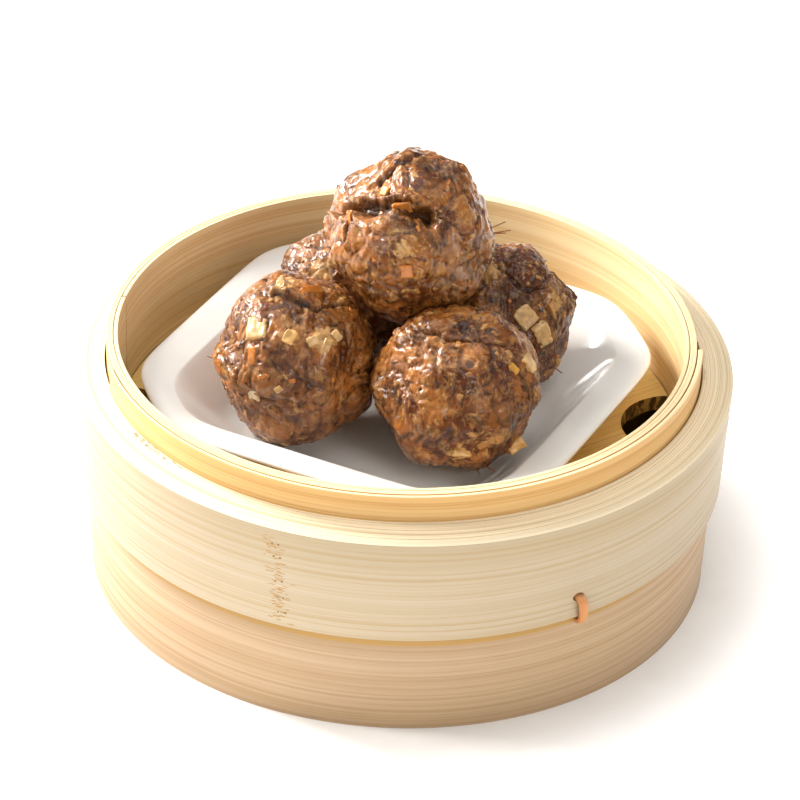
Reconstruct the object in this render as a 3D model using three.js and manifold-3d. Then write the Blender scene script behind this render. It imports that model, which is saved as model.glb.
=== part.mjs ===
// A round bamboo steamer basket with a porcelain plate in it, and five beef meatballs on the plate.
// Millimetres, +Z up. The origin is the centre of the circle that the basket stands on.
// Azimuths are in degrees, from +X towards +Y. The side facing -Y is the front.

import * as THREE from 'three';
import { mergeVertices } from 'three/addons/utils/BufferGeometryUtils.js';
import Module from 'manifold-3d';

// ---------------------------------------------------------------- driving dimensions

const BASKET_DIAMETER = 180;      // over the upper band
const JOINT_HEIGHT = 30.2;        // where the upper band meets the lower one
const BAND_TOP = 61.5;            // outer edge of the upper band's top
const RIM_TOP = 70.8;             // top of the inner rings, where a next basket would sit
const FLOOR_TOP = 42;             // upper face of the floor board
const GAP = 0.3;                  // clearance between neighbouring pieces
const RING_SEGMENTS = 60;
const HOLE_SEGMENTS = 24;
const OVERCUT = 1;                // how far a cut reaches past the piece that it is made in
const WELD = 1e-4;                // points nearer than this are one point

const BAND = {
  innerRadius: 82.4,              // wound bamboo band, eight turns thick
  innerRise: 1.6,                 // the inner turns stand a little prouder than the outer ones
  edgeRound: 1.5,
  footRadius: BASKET_DIAMETER / 2 - 1.4,
};
const LOWER_BAND = {
  innerRadius: 81.5,
  outerRadius: 86.4,
  footRadius: 85.4,
  edgeRound: 0.7,
  lastTurn: 0.8,                  // the last turn of its strip is narrower, so its top edge shows
  lastTurnTop: 27.2,
};

const RINGS = {
  centre: [-0.8, -0.3],           // the bent rings sit slightly off the bands' centre
  bottom: 1.2,
  liner: { inner: 77.2, outer: 78.2, endAzimuth: 170, seam: 1.2 },
  core: { inner: 78.5, outer: 80.2 },
  strip: { inner: 80.5, outer: 81.8, thinOuter: 81.2, startAzimuth: -3, sweep: 160, bottom: 31 },
};

const FLOOR = { thickness: 4.5, radius: 76.8, holeRadius: 14.9, holeCentre: 76.2, holeAzimuth: 2, holes: 4 };
const BATTEN = { width: 8, height: 6, offset: 33, azimuth: 45, reach: 80.2 };

const STITCH = {
  azimuths: [-57, 33, 123],
  width: 2.9,
  thickness: 1.1,
  upperHoleZ: 36.6,
  lowerHoleZ: 27.6,
  holeWidth: 3.7,
  holeHeight: 2.0,
  // Middle line of the strip, as radius and height, from inside the upper band to inside the lower one.
  route: [
    [84.9, 36.7], [89.1, 36.7], [90.4, 35.4], [90.3, 33], [89.5, JOINT_HEIGHT],
    [88.6, 28.6], [87.3, 27.5], [83.1, 27.5],
  ],
};

const PLATE = {
  centre: [-1.7, 1.2],
  turn: -26,                      // direction of its sides
  points: 48,
  standing: FLOOR_TOP + GAP,
  wellTop: 46,
};
// Half width between opposite sides, half width between opposite cut corners, and height,
// from the middle of the underside round the rim to the middle of the well.
const PLATE_PROFILE = [
  [0, 0, 43.5], [33, 39, 43.5], [34, 40.2, PLATE.standing], [37, 43.6, PLATE.standing], [38.4, 45.2, 43.9],
  [50.5, 58.5, 50.4], [59.3, 67.8, 56.8], [61.4, 70, 58.5], [61.5, 70.1, 59.5], [60.3, 68.8, 60.2],
  [57.5, 66, 60.0], [51.2, 62.2, 58.2], [49.5, 60.4, 56.8], [44.5, 54, 51.0], [39.5, 48.2, 47.6],
  [34, 41.6, PLATE.wellTop], [0, 0, PLATE.wellTop],
];
const PLATE_CORNER_POWER = 26;    // the higher, the sharper the bends between sides and cut corners

// Centre, radius, stretch along each axis and phase of the lumps.
const BALLS = {
  meatball_left: { at: [-28.9, -11.1, 68.0], radius: 22.3, stretch: [1, 1, 1], phase: 1.3 },
  meatball_front: { at: [14.8, -24.6, 68.8], radius: 21.5, stretch: [1, 1.13, 1.06], phase: 2.9 },
  meatball_right: { at: [25.3, 16.9, 66.4], radius: 20.9, stretch: [1, 1, 1], phase: 4.1 },
  meatball_back: { at: [-13.6, 27.2, 66.6], radius: 21.0, stretch: [1, 1, 1], phase: 5.7 },
  meatball_top: { at: [0.5, 2.6, 98.6], radius: 22.4, stretch: [1, 1, 1], phase: 7.2 },
};
const BALL_DETAIL = 6;            // cuts along each edge of the icosahedron that a ball starts from
const LUMP_PHASES = [1, 1.7, 2.3]; // how fast a ball's phase shifts the waves along X, Y and Z
const LUMP_SUM = 1.5;             // the three waves together are divided by this
const LUMPS = [                   // waves across a ball: how many, and how high as a share of the radius
  { waves: 2.3, height: 0.030 },
  { waves: 3.7, height: 0.022 },
  { waves: 5.9, height: 0.014 },
  { waves: 9.1, height: 0.009 },
];
// The top ball's crust has torn open: azimuth and elevation of the tear's two ends, seen from the ball's centre.
const TEAR = { from: [-143, 38], to: [-72, 30], width: 0.13, depth: 2.6 };
const CONTACT_GAP = 0.35;         // half of it is left on each side where two balls press together

// ---------------------------------------------------------------- materials

const finish = (color, roughness) => new THREE.MeshStandardMaterial({ color, roughness, metalness: 0 });
const BAMBOO_BAND = finish(0xe3c9a1, 0.6);
const BAMBOO_LOWER = finish(0xcfab7c, 0.6);
const BAMBOO_RING = finish(0xdda85c, 0.55);
const BAMBOO_FLOOR = finish(0xb98a45, 0.6);
const RATTAN = finish(0xd9934c, 0.45);
const PORCELAIN = finish(0xe6e4dc, 0.12);
const MEAT = finish(0x4f2c17, 0.35);

// ---------------------------------------------------------------- geometry helpers

const wasm = await Module();
wasm.setup();

const radians = THREE.MathUtils.degToRad;

function polar(radius, azimuth, z, centre = [0, 0]) {
  const a = radians(azimuth);
  return new THREE.Vector3(centre[0] + radius * Math.cos(a), centre[1] + radius * Math.sin(a), z);
}

function signedVolume(triangles) {
  let sum = 0;
  for (const [a, b, c] of triangles) sum += a.dot(b.clone().cross(c)) / 6;
  return sum;
}

// A closed body from triangles given as three points each, turned so that its faces point outwards.
function body(triangles) {
  const apart = (a, b) => a.distanceTo(b) > WELD;
  const real = triangles.filter(([a, b, c]) => apart(a, b) && apart(b, c) && apart(c, a));
  const flip = signedVolume(real) < 0;
  const points = real.flatMap(([a, b, c]) => (flip ? [a, c, b] : [a, b, c]));
  const geometry = new THREE.BufferGeometry().setFromPoints(points);
  return mergeVertices(geometry, WELD);
}

// A skin over rows of points. Each row is a closed loop. The last row joins the first one, or both are capped.
function skin(rows, joined) {
  const triangles = [];
  const count = rows[0].length;
  const last = joined ? rows.length : rows.length - 1;
  for (let i = 0; i < last; i += 1) {
    const here = rows[i];
    const next = rows[(i + 1) % rows.length];
    for (let j = 0; j < count; j += 1) {
      const k = (j + 1) % count;
      triangles.push([here[j], here[k], next[k]], [here[j], next[k], next[j]]);
    }
  }
  if (!joined) {
    for (const [row, turn] of [[rows[0], true], [rows.at(-1), false]]) {
      const middle = row.reduce((sum, p) => sum.add(p), new THREE.Vector3()).divideScalar(count);
      for (let j = 0; j < count; j += 1) {
        const k = (j + 1) % count;
        triangles.push(turn ? [middle, row[k], row[j]] : [middle, row[j], row[k]]);
      }
    }
  }
  return body(triangles);
}

// A full ring: every section is the same list of [radius, z].
function ring(section, centre) {
  const rows = [];
  for (let i = 0; i < RING_SEGMENTS; i += 1) {
    const azimuth = (i * 360) / RING_SEGMENTS;
    rows.push(section.map(([radius, z]) => polar(radius, azimuth, z, centre)));
  }
  return skin(rows, true);
}

// Part of a ring from one azimuth to another; sectionAt gives the section for 0 at the start to 1 at the end.
function arc(sectionAt, start, sweep, centre) {
  const steps = Math.ceil((RING_SEGMENTS * Math.abs(sweep)) / 360);
  const rows = [];
  for (let i = 0; i <= steps; i += 1) {
    const azimuth = start + (sweep * i) / steps;
    rows.push(sectionAt(i / steps).map(([radius, z]) => polar(radius, azimuth, z, centre)));
  }
  return skin(rows, false);
}

const rectangle = (inner, outer, bottom, top) => [[inner, bottom], [outer, bottom], [outer, top], [inner, top]];

function toSolid(geometry) {
  const bare = geometry.clone();
  bare.deleteAttribute('normal');
  bare.deleteAttribute('uv');
  const merged = mergeVertices(bare, WELD);
  const mesh = new wasm.Mesh({
    numProp: 3,
    vertProperties: merged.attributes.position.array,
    triVerts: new Uint32Array(merged.index.array),
  });
  return new wasm.Manifold(mesh);
}

function carve(geometry, tools) {
  let solid = toSolid(geometry);
  for (const tool of tools) solid = solid.subtract(toSolid(tool));
  const mesh = solid.getMesh();
  const carved = new THREE.BufferGeometry();
  carved.setAttribute('position', new THREE.BufferAttribute(new Float32Array(mesh.vertProperties), 3));
  carved.setIndex(new THREE.BufferAttribute(new Uint32Array(mesh.triVerts), 1));
  return carved;
}

const steamer = new THREE.Group();

function add(name, geometry, material, azimuth = 0) {
  const mesh = new THREE.Mesh(geometry, material);
  mesh.name = name;
  mesh.rotation.z = radians(azimuth);
  steamer.add(mesh);
}

// ---------------------------------------------------------------- stitches through the bands

// A box whose long side points outwards at an azimuth, from one radius to another.
function radialBox(azimuth, inner, outer, width, bottom, top) {
  const box = new THREE.BoxGeometry(outer - inner, width, top - bottom);
  box.translate((inner + outer) / 2, 0, (bottom + top) / 2);
  return box.rotateZ(radians(azimuth));
}

// The square holes that the stitches pass through, one for each stitch.
function stitchHoles(innerRadius, z) {
  return STITCH.azimuths.map((azimuth) => radialBox(
    azimuth, innerRadius - OVERCUT, BASKET_DIAMETER / 2 + OVERCUT, STITCH.holeWidth,
    z - STITCH.holeHeight / 2, z + STITCH.holeHeight / 2,
  ));
}

// A flat strip that comes out of the upper band, crosses the joint and goes into the lower band.
function stitchShape() {
  const half = STITCH.thickness / 2;
  const route = STITCH.route.map(([radius, z]) => new THREE.Vector2(radius, z));
  const side = route.map((point, i) => {
    const before = route[Math.max(i - 1, 0)];
    const after = route[Math.min(i + 1, route.length - 1)];
    const along = after.clone().sub(before).normalize();
    return new THREE.Vector2(-along.y, along.x).multiplyScalar(half);
  });
  const outline = [
    ...route.map((point, i) => point.clone().add(side[i])),
    ...route.map((point, i) => point.clone().sub(side[i])).reverse(),
  ];
  const strip = new THREE.ExtrudeGeometry(new THREE.Shape(outline), { depth: STITCH.width, bevelEnabled: false });
  strip.translate(0, 0, -STITCH.width / 2);
  return strip.rotateX(Math.PI / 2);
}

function addStitches() {
  STITCH.azimuths.forEach((azimuth, i) => add(`stitch_${i + 1}`, stitchShape(), RATTAN, azimuth));
}

// ---------------------------------------------------------------- bands and rings

function addBands() {
  const outer = BASKET_DIAMETER / 2;
  const upper = ring([
    [BAND.innerRadius, JOINT_HEIGHT + GAP],
    [BAND.footRadius, JOINT_HEIGHT + GAP],
    [outer, BAND_TOP - BAND.edgeRound],
    [outer - BAND.edgeRound, BAND_TOP],
    [BAND.innerRadius, BAND_TOP + BAND.innerRise],
  ]);
  const lower = ring([
    [LOWER_BAND.innerRadius, 0],
    [LOWER_BAND.footRadius - LOWER_BAND.edgeRound, 0],
    [LOWER_BAND.footRadius, LOWER_BAND.edgeRound],
    [LOWER_BAND.outerRadius, LOWER_BAND.lastTurnTop],
    [LOWER_BAND.outerRadius - LOWER_BAND.lastTurn, LOWER_BAND.lastTurnTop],
    [LOWER_BAND.outerRadius - LOWER_BAND.lastTurn, JOINT_HEIGHT],
    [LOWER_BAND.innerRadius, JOINT_HEIGHT],
  ]);
  add('band_upper', carve(upper, stitchHoles(BAND.innerRadius, STITCH.upperHoleZ)), BAMBOO_BAND);
  add('band_lower', carve(lower, stitchHoles(LOWER_BAND.innerRadius, STITCH.lowerHoleZ)), BAMBOO_LOWER);
}

const battenSides = [-1, 1];
const battenTop = FLOOR_TOP - FLOOR.thickness - GAP;

// A straight bar under the floor; the rings have a square hole at each of its ends.
function battenBar(side, length, clearance) {
  const bar = new THREE.BoxGeometry(length, BATTEN.width + 2 * clearance, BATTEN.height + 2 * clearance);
  bar.translate(0, side * BATTEN.offset, battenTop - BATTEN.height / 2);
  bar.rotateZ(radians(BATTEN.azimuth));
  return bar.translate(RINGS.centre[0], RINGS.centre[1], 0);
}

const battenLength = 2 * Math.sqrt(BATTEN.reach ** 2 - (BATTEN.offset + BATTEN.width / 2) ** 2);

function addRings() {
  const { centre, bottom, liner, core, strip } = RINGS;
  const openings = battenSides.map((side) => battenBar(side, BASKET_DIAMETER, GAP));
  const linerSection = rectangle(liner.inner, liner.outer, bottom, RIM_TOP);
  const linerSweep = 360 - liner.seam;
  add('ring_liner', carve(arc(() => linerSection, liner.endAzimuth, -linerSweep, centre), openings), BAMBOO_RING);
  add('ring_core', carve(ring(rectangle(core.inner, core.outer, bottom, RIM_TOP), centre), openings), BAMBOO_RING);
  const stripSection = (t) => {
    const outer = THREE.MathUtils.lerp(strip.outer, strip.thinOuter, t);
    return rectangle(strip.inner, outer, strip.bottom, RIM_TOP);
  };
  add('ring_strip', arc(stripSection, strip.startAzimuth, -strip.sweep, centre), BAMBOO_RING);
}

// ---------------------------------------------------------------- floor

function addFloor() {
  const [x, y] = RINGS.centre;
  const board = new THREE.CylinderGeometry(FLOOR.radius, FLOOR.radius, FLOOR.thickness, RING_SEGMENTS);
  board.rotateX(Math.PI / 2).translate(x, y, FLOOR_TOP - FLOOR.thickness / 2);
  const holes = [];
  for (let i = 0; i < FLOOR.holes; i += 1) {
    const centre = polar(FLOOR.holeCentre, FLOOR.holeAzimuth + (i * 360) / FLOOR.holes, FLOOR_TOP, RINGS.centre);
    const hole = new THREE.CylinderGeometry(FLOOR.holeRadius, FLOOR.holeRadius, 4 * FLOOR.thickness, HOLE_SEGMENTS);
    holes.push(hole.rotateX(Math.PI / 2).translate(centre.x, centre.y, centre.z));
  }
  add('floor_board', carve(board, holes), BAMBOO_FLOOR);
  battenSides.forEach((side, i) => add(`floor_batten_${i + 1}`, battenBar(side, battenLength, 0), BAMBOO_FLOOR));
}

// ---------------------------------------------------------------- plate

// Distance from the centre to a rounded outline with four sides and four cut corners.
function outlineRadius(angle, sideHalf, cornerHalf) {
  if (sideHalf === 0) return 0;
  let sum = 0;
  for (let k = 0; k < 8; k += 1) {
    const across = Math.cos(angle - (k * Math.PI) / 4);
    if (across > 0) sum += (across / (k % 2 === 0 ? sideHalf : cornerHalf)) ** PLATE_CORNER_POWER;
  }
  return sum ** (-1 / PLATE_CORNER_POWER);
}

function addPlate() {
  const turn = radians(PLATE.turn);
  const rows = PLATE_PROFILE.map(([sideHalf, cornerHalf, z]) => {
    const row = [];
    for (let i = 0; i < PLATE.points; i += 1) {
      const angle = (i * 2 * Math.PI) / PLATE.points;
      const radius = outlineRadius(angle, sideHalf, cornerHalf);
      row.push(new THREE.Vector3(
        PLATE.centre[0] + radius * Math.cos(angle + turn),
        PLATE.centre[1] + radius * Math.sin(angle + turn),
        z,
      ));
    }
    return row;
  });
  add('plate', skin(rows, false), PORCELAIN);
}

// ---------------------------------------------------------------- meatballs

const direction = ([azimuth, elevation]) => new THREE.Vector3().setFromSphericalCoords(
  1, radians(90 - elevation), radians(azimuth),
).applyMatrix4(new THREE.Matrix4().set(0, 0, 1, 0, 1, 0, 0, 0, 0, 1, 0, 0, 0, 0, 0, 1));

// Height of the lumps in a direction, as a share of the radius.
function lumpiness(unit, phase) {
  let height = 0;
  LUMPS.forEach((lump, i) => {
    const k = lump.waves;
    const p = phase * (i + 1);
    const wave = unit.toArray().reduce((sum, c, axis) => sum + Math.sin(k * c + LUMP_PHASES[axis] * p), 0);
    height += (lump.height * wave) / LUMP_SUM;
  });
  return height;
}

// Depth of the tear in a direction: a groove along the arc between its two ends.
function tearDepth(unit) {
  const from = direction(TEAR.from);
  const to = direction(TEAR.to);
  const t = THREE.MathUtils.clamp(unit.clone().sub(from).dot(to.clone().sub(from)) / to.distanceToSquared(from), 0, 1);
  const nearest = from.clone().lerp(to, t).normalize();
  const away = unit.distanceTo(nearest) / TEAR.width;
  return TEAR.depth * Math.exp(-away * away);
}

// Where two balls press together, each is flattened at the plane between them.
function flattenAgainst(point, ball, other) {
  const centre = new THREE.Vector3(...ball.at);
  const towards = new THREE.Vector3(...other.at).sub(centre);
  const distance = towards.length();
  towards.divideScalar(distance);
  const limit = (distance * ball.radius) / (ball.radius + other.radius) - CONTACT_GAP / 2;
  const beyond = point.clone().sub(centre).dot(towards) - limit;
  if (beyond > 0) point.addScaledVector(towards, -beyond);
}

function ballShape(name) {
  const ball = BALLS[name];
  const sphere = new THREE.IcosahedronGeometry(1, BALL_DETAIL);
  sphere.deleteAttribute('normal');
  sphere.deleteAttribute('uv');
  const geometry = mergeVertices(sphere, WELD);
  const position = geometry.attributes.position;
  const floor = PLATE.wellTop + GAP;
  for (let i = 0; i < position.count; i += 1) {
    const unit = new THREE.Vector3().fromBufferAttribute(position, i);
    let radius = ball.radius * (1 + lumpiness(unit, ball.phase));
    if (name === 'meatball_top') radius -= tearDepth(unit);
    const point = unit.clone().multiplyScalar(radius).multiply(new THREE.Vector3(...ball.stretch));
    point.add(new THREE.Vector3(...ball.at));
    for (const [otherName, other] of Object.entries(BALLS)) {
      if (otherName !== name) flattenAgainst(point, ball, other);
    }
    point.z = Math.max(point.z, floor);
    position.setXYZ(i, point.x, point.y, point.z);
  }
  return geometry;
}

function addMeatballs() {
  for (const name of Object.keys(BALLS)) add(name, ballShape(name), MEAT);
}

// ---------------------------------------------------------------- the whole

addBands();
addRings();
addStitches();
addFloor();
addPlate();
addMeatballs();

export default steamer;
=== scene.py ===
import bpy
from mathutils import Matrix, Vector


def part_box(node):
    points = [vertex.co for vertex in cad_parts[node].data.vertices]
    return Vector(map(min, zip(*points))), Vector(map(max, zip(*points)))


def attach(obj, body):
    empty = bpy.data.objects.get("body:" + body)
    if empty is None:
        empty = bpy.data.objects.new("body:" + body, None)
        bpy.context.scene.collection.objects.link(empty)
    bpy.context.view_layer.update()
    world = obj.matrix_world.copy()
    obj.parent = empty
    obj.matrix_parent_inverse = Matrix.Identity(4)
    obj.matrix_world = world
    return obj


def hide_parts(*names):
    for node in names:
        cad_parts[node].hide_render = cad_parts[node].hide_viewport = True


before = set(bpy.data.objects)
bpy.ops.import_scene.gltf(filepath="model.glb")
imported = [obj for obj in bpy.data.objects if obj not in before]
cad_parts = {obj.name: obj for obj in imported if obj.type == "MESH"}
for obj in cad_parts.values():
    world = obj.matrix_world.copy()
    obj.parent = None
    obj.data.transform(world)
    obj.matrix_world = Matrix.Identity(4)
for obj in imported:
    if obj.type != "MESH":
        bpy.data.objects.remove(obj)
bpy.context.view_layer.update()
print("nodes:", ", ".join(sorted(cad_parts)))

# %% [markdown]
# All sizes below are in metres, as Blender has them. A maker thinks in millimetres, so `MM` turns one
# into the other. The walls of the basket are rings, and each ring's radii and heights are measured on
# its CAD node. So the script needs no second list of them.
# %% Units and measured walls
from math import atan2, cos, degrees, floor, hypot, pi, radians, sin

import bmesh
import bpy
from mathutils import Matrix, Vector, noise
from mathutils.bvhtree import BVHTree

MM = 0.001
JOB = bpy.context.scene.collection


class Wall:
    """The radii and heights of a round wall, measured on its CAD node round a centre."""

    def __init__(self, node, centre=(0, 0)):
        points = [vertex.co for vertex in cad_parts[node].data.vertices]
        reach = [hypot(p.x - centre[0], p.y - centre[1]) for p in points]
        self.centre = Vector((*centre, 0))
        self.inner, self.outer = min(reach), max(reach)
        self.bottom, self.top = min(p.z for p in points), max(p.z for p in points)
        print(f"{node}: radius {self.inner / MM:.1f} to {self.outer / MM:.1f} mm,"
              f" height {self.bottom / MM:.1f} to {self.top / MM:.1f} mm")


low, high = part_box("ring_core")
RING_CENTRE = ((low.x + high.x) / 2, (low.y + high.y) / 2)
UPPER = Wall("band_upper")
LOWER = Wall("band_lower")
CORE = Wall("ring_core", RING_CENTRE)
LINER = Wall("ring_liner", RING_CENTRE)
STRIP = Wall("ring_strip", RING_CENTRE)
BOARD = Wall("floor_board", RING_CENTRE)

# %% [markdown]
# ## Camera
# The photograph looks down at the basket from the front at about 32 degrees, from far away, so the
# circles stay nearly true ellipses. The camera is rolled by two degrees. A camera's own axes are its
# right side, its up and its back, so these three are worked out and put in the columns of its matrix.
# %% Camera at the photograph's angle
CAMERA_PLACE = Vector((-0.67, -957.9, 653.9)) * MM
LOOK = Vector((0, 0.84526, -0.53436))
ROLL = radians(2)
LENS = 185.6

camera_data = bpy.data.cameras.new("camera")
camera_data.lens = LENS
camera_data.sensor_width = 36
camera_data.clip_end = 20
camera = bpy.data.objects.new("camera", camera_data)
JOB.objects.link(camera)
side = Vector((1, 0, 0))
rise = side.cross(LOOK)
right = side * cos(ROLL) + rise * sin(ROLL)
up = rise * cos(ROLL) - side * sin(ROLL)
camera_turn = Matrix((right, up, -LOOK)).transposed().to_4x4()
camera.matrix_world = Matrix.Translation(CAMERA_PLACE) @ camera_turn
bpy.context.scene.camera = camera
print("camera looks down at", round(degrees(atan2(-LOOK.z, LOOK.y)), 1), "degrees")

# %% [markdown]
# ## Light and floor
# The picture is bright and soft. One large light at the left, a window, bleaches the basket's left
# side, and the glaze of the plate mirrors it. A second pane further round puts small lights on the wet
# meat. A weaker lamp stands at the front right, a soft panel hangs above, and the room around is white.
# A lamp is made by one function that turns it towards the plate. The standard view transform keeps the
# colours as they are mixed.
# %% Lamps, room and floor
AIM = Vector((0, 0, 0.06))
DAYLIGHT = (1.0, 0.985, 0.965)


def lamp(name, place, size, power, colour):
    data = bpy.data.lights.new(name, "AREA")
    data.shape = "RECTANGLE"
    data.size, data.size_y = size
    data.energy = power
    data.color = colour
    obj = bpy.data.objects.new(name, data)
    turn = (AIM - place).to_track_quat("-Z", "Y").to_matrix().to_4x4()
    obj.matrix_world = Matrix.Translation(place) @ turn
    JOB.objects.link(obj)


def from_aim(azimuth, elevation, distance):
    level = distance * cos(radians(elevation))
    rise = distance * sin(radians(elevation))
    return AIM + Vector((level * cos(radians(azimuth)), level * sin(radians(azimuth)), rise))


lamp("window at the left", from_aim(149, 30, 1.3), (0.42, 0.42), 36, DAYLIGHT)
lamp("soft front", from_aim(302, 32, 1.2), (0.36, 0.3), 3.0, DAYLIGHT)
lamp("second pane", from_aim(177, 30, 1.3), (0.24, 0.24), 9, DAYLIGHT)
lamp("soft panel above", Vector((0.1, 0.1, 1.3)), (1.2, 1.2), 8.5, (1.0, 0.99, 0.98))

world = bpy.data.worlds.new("white room")
world.use_nodes = True
world.node_tree.nodes["Background"].inputs["Color"].default_value = (1.0, 0.99, 0.975, 1)
world.node_tree.nodes["Background"].inputs["Strength"].default_value = 0.41
bpy.context.scene.world = world
bpy.context.scene.view_settings.view_transform = "Standard"

# %% [markdown]
# ## Small helpers for materials
# A finish is a tree of nodes. Each helper below adds one node, links what is handed to it, and returns
# its output, so that a recipe further down reads like a list of layers. Colours are written as on a
# paint chart and turned into the linear values that light works with.
# %% Node helpers


def linear(code):
    """A colour like e3c9a1 as linear red, green, blue and alpha."""
    parts = [int(code[i:i + 2], 16) / 255 for i in (0, 2, 4)]
    return (*[p / 12.92 if p <= 0.04045 else ((p + 0.055) / 1.055) ** 2.4 for p in parts], 1)


def fill(tree, made, inputs):
    """Sets or links the inputs of a node by name or number."""
    for key, value in inputs.items():
        if isinstance(value, bpy.types.NodeSocket):
            tree.links.new(value, made.inputs[key])
        else:
            made.inputs[key].default_value = value


def node(tree, kind, inputs=None, **settings):
    """Adds a node with its settings and its inputs, and returns it."""
    made = tree.nodes.new(kind)
    for key, value in settings.items():
        setattr(made, key, value)
    fill(tree, made, inputs or {})
    return made


def new_material(name):
    material = bpy.data.materials.new(name)
    material.use_nodes = True
    return material, material.node_tree, material.node_tree.nodes["Principled BSDF"]


def math(tree, operation, *values):
    return node(tree, "ShaderNodeMath", dict(enumerate(values)), operation=operation).outputs[0]


def object_place(tree):
    return node(tree, "ShaderNodeTexCoord").outputs["Object"]


def axis(tree, vector, letter):
    return node(tree, "ShaderNodeSeparateXYZ", {0: vector}).outputs[letter]


def mapped(tree, vector, scale, place=(0, 0, 0), turn=(0, 0, 0)):
    inputs = {"Vector": vector, "Scale": scale, "Location": place, "Rotation": turn}
    return node(tree, "ShaderNodeMapping", inputs).outputs[0]


def grain(tree, vector, scale, detail, rough=0.5):
    inputs = {"Vector": vector, "Scale": scale, "Detail": detail, "Roughness": rough}
    return node(tree, "ShaderNodeTexNoise", inputs).outputs["Fac"]


def between(tree, value, low_end, high_end, to_low=0.0, to_high=1.0):
    """Stretches the part of a value between two ends to a new range, and cuts off the rest."""
    inputs = {"Value": value, "From Min": low_end, "From Max": high_end}
    inputs |= {"To Min": to_low, "To Max": to_high}
    return node(tree, "ShaderNodeMapRange", inputs, interpolation_type="SMOOTHSTEP").outputs[0]


def blend(tree, factor, one, two):
    """Mixes two colours, each a colour code or a socket."""
    one, two = [linear(c) if isinstance(c, str) else c for c in (one, two)]
    return node(tree, "ShaderNodeMix", {0: factor, 6: one, 7: two}, data_type="RGBA").outputs[2]


def bump(tree, height, depth, strength):
    inputs = {"Height": height, "Distance": depth, "Strength": strength}
    return node(tree, "ShaderNodeBump", inputs).outputs[0]


# %% [markdown]
# The floor is a plain white sheet. It glows very faintly, as a lit background in a studio does, so that
# it stays white behind the basket. Inside the basket's foot it is painted dark, as painted shade, so
# that the steam notches look as deep as they are. It is stage, not part of the object.
# %% Floor
# Distances from the middle: where the painted shade ends, and where the glow starts, is full and how
# strong.
PAINTED_SHADE_UNDER_FOOT = (0.07, 0.08)
GLOW = (0.088, 0.125, 0, 0.6)
FLOOR_HALF = 3.0

floor_finish, tree, surface = new_material("white sheet")
place = object_place(tree)
distance = node(tree, "ShaderNodeVectorMath", {0: place}, operation="LENGTH").outputs["Value"]
paper = blend(tree, between(tree, grain(tree, place, 90, 2), 0.3, 0.7), "f7f6f4", "fbfaf8")
fill(tree, surface, {
    # Inside the foot the sheet is painted near black: painted shade.
    "Base Color": blend(tree, between(tree, distance, *PAINTED_SHADE_UNDER_FOOT), "1a1512", paper),
    "Roughness": 0.9,
    "Specular IOR Level": 0.1,
    "Emission Color": (1, 1, 1, 1),
    "Emission Strength": between(tree, distance, *GLOW),
})

bm = bmesh.new()
bmesh.ops.create_grid(bm, x_segments=1, y_segments=1, size=FLOOR_HALF)
floor_mesh = bpy.data.meshes.new("floor")
bm.to_mesh(floor_mesh)
bm.free()
floor_mesh.materials.append(floor_finish)
floor_sheet = bpy.data.objects.new("floor", floor_mesh)
JOB.objects.link(floor_sheet)
print("floor of", 2 * FLOOR_HALF, "m")

# %% [markdown]
# ## Bamboo
# Bamboo is split into thin flat strips, and its fibres run along the strip. They show as fine lines,
# lighter and darker, with short brown dashes where a fibre bundle was cut. A strip's map holds its own
# length in metres as U and the way across it as V, so a pattern that is long in U and short in V runs
# round the basket with the strip. On the cut edges, which face up, the wood is paler and the lines are
# stronger. The finish is one function, because the bands, the rings and the floor are the same wood in
# different ages. It can also have a colour that starts at a height, for a mustard stripe under the
# joint that is partly the wood's colour and partly painted shade, and for painted shade below the floor
# board, and torn fibres on its cut faces.
# %% Bamboo finish


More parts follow.
